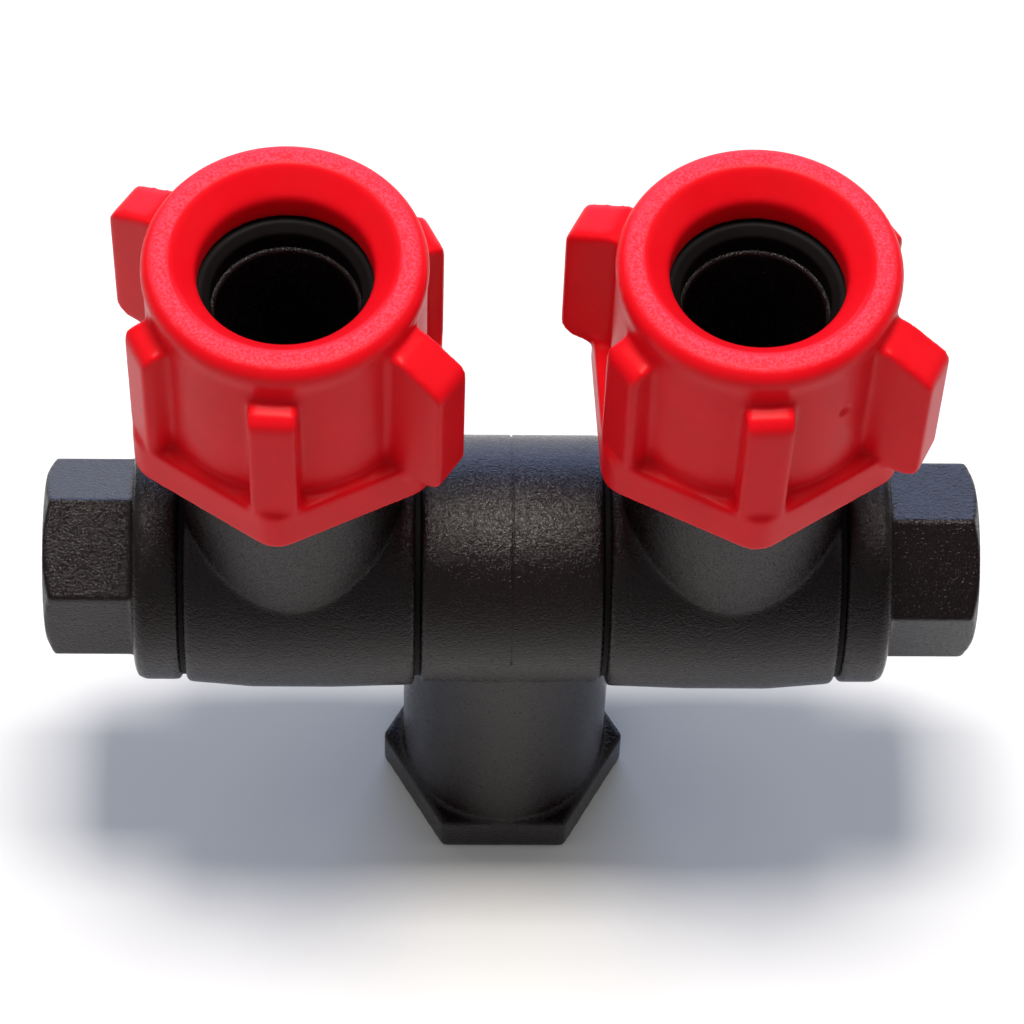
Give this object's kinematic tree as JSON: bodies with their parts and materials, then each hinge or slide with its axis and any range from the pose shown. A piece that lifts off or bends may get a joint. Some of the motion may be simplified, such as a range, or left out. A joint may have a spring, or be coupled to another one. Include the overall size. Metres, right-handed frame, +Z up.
{
  "type": "hose splitter",
  "caption": "Two-way hose splitter: threaded inlet stem under a cross barrel, with swivelling upright outlets under winged quarter-turn caps.",
  "frame": {"origin": "centre of the inlet's mouth, on the face it stands on", "axes": "+X along the cross barrel to the right, +Y to the back, +Z up the inlet stem towards the outlets"},
  "size_m": [0.0904, 0.031, 0.0896],
  "materials": {
    "black_body": "satin moulded nylon, warm black",
    "red_cap": "soft-gloss moulded nylon with a fine-grained rim",
    "seal_rubber": "smooth black rubber",
    "washer_plastic": "plain black acetal"
  },
  "bodies": {
    "inlet": {"inlet_body": "black_body", "left_inner_washer": "washer_plastic", "right_inner_washer": "washer_plastic", "left_tip_seal": "seal_rubber", "right_tip_seal": "seal_rubber"},
    "left_swivel": {"left_swivel_body": "black_body"},
    "right_swivel": {"right_swivel_body": "black_body"},
    "left_cap": {"left_quick_cap": "red_cap", "left_seat_gasket": "seal_rubber"},
    "right_cap": {"right_quick_cap": "red_cap", "right_seat_gasket": "seal_rubber"},
    "left_bolt_carrier": {"left_outer_washer": "washer_plastic"},
    "right_bolt_carrier": {"right_outer_washer": "washer_plastic"},
    "left_bolt": {"left_pivot_bolt": "black_body", "left_inner_o_ring": "seal_rubber", "left_outer_o_ring": "seal_rubber"},
    "right_bolt": {"right_pivot_bolt": "black_body", "right_inner_o_ring": "seal_rubber", "right_outer_o_ring": "seal_rubber"}
  },
  "joints": [
    {"name": "left_swivel_turn", "type": "hinge", "parent": "inlet", "child": "left_swivel", "pos_m": [-0.02113, 0, 0.0393], "axis": [1, 0, 0], "range_deg": [-125, 125]},
    {"name": "right_swivel_turn", "type": "hinge", "parent": "inlet", "child": "right_swivel", "pos_m": [0.02113, 0, 0.0393], "axis": [1, 0, 0], "range_deg": [-125, 125]},
    {"name": "left_cap_turn", "type": "hinge", "parent": "left_swivel", "child": "left_cap", "pos_m": [-0.02113, 0, 0.0393], "axis": [0, 0, 1], "range_deg": [0, 90]},
    {"name": "right_cap_turn", "type": "hinge", "parent": "right_swivel", "child": "right_cap", "pos_m": [0.02113, 0, 0.0393], "axis": [0, 0, 1], "range_deg": [-7, 83]},
    {"name": "left_bolt_travel", "type": "slide", "parent": "inlet", "child": "left_bolt_carrier", "axis": [-1, 0, 0], "range_m": [0, 0.0008]},
    {"name": "right_bolt_travel", "type": "slide", "parent": "inlet", "child": "right_bolt_carrier", "axis": [1, 0, 0], "range_m": [0, 0.0008]},
    {"name": "left_bolt_turn", "type": "hinge", "parent": "left_bolt_carrier", "child": "left_bolt", "pos_m": [-0.02113, 0, 0.0393], "axis": [-1, 0, 0], "range_deg": [0, 180]},
    {"name": "right_bolt_turn", "type": "hinge", "parent": "right_bolt_carrier", "child": "right_bolt", "pos_m": [0.02113, 0, 0.0393], "axis": [1, 0, 0], "range_deg": [0, 180]}
  ],
  "couplings": [
    {"joint": "left_bolt_travel", "follows": "left_bolt_turn", "m_per_rad": 0.00023873},
    {"joint": "right_bolt_travel", "follows": "right_bolt_turn", "m_per_rad": 0.00023873}
  ]
}
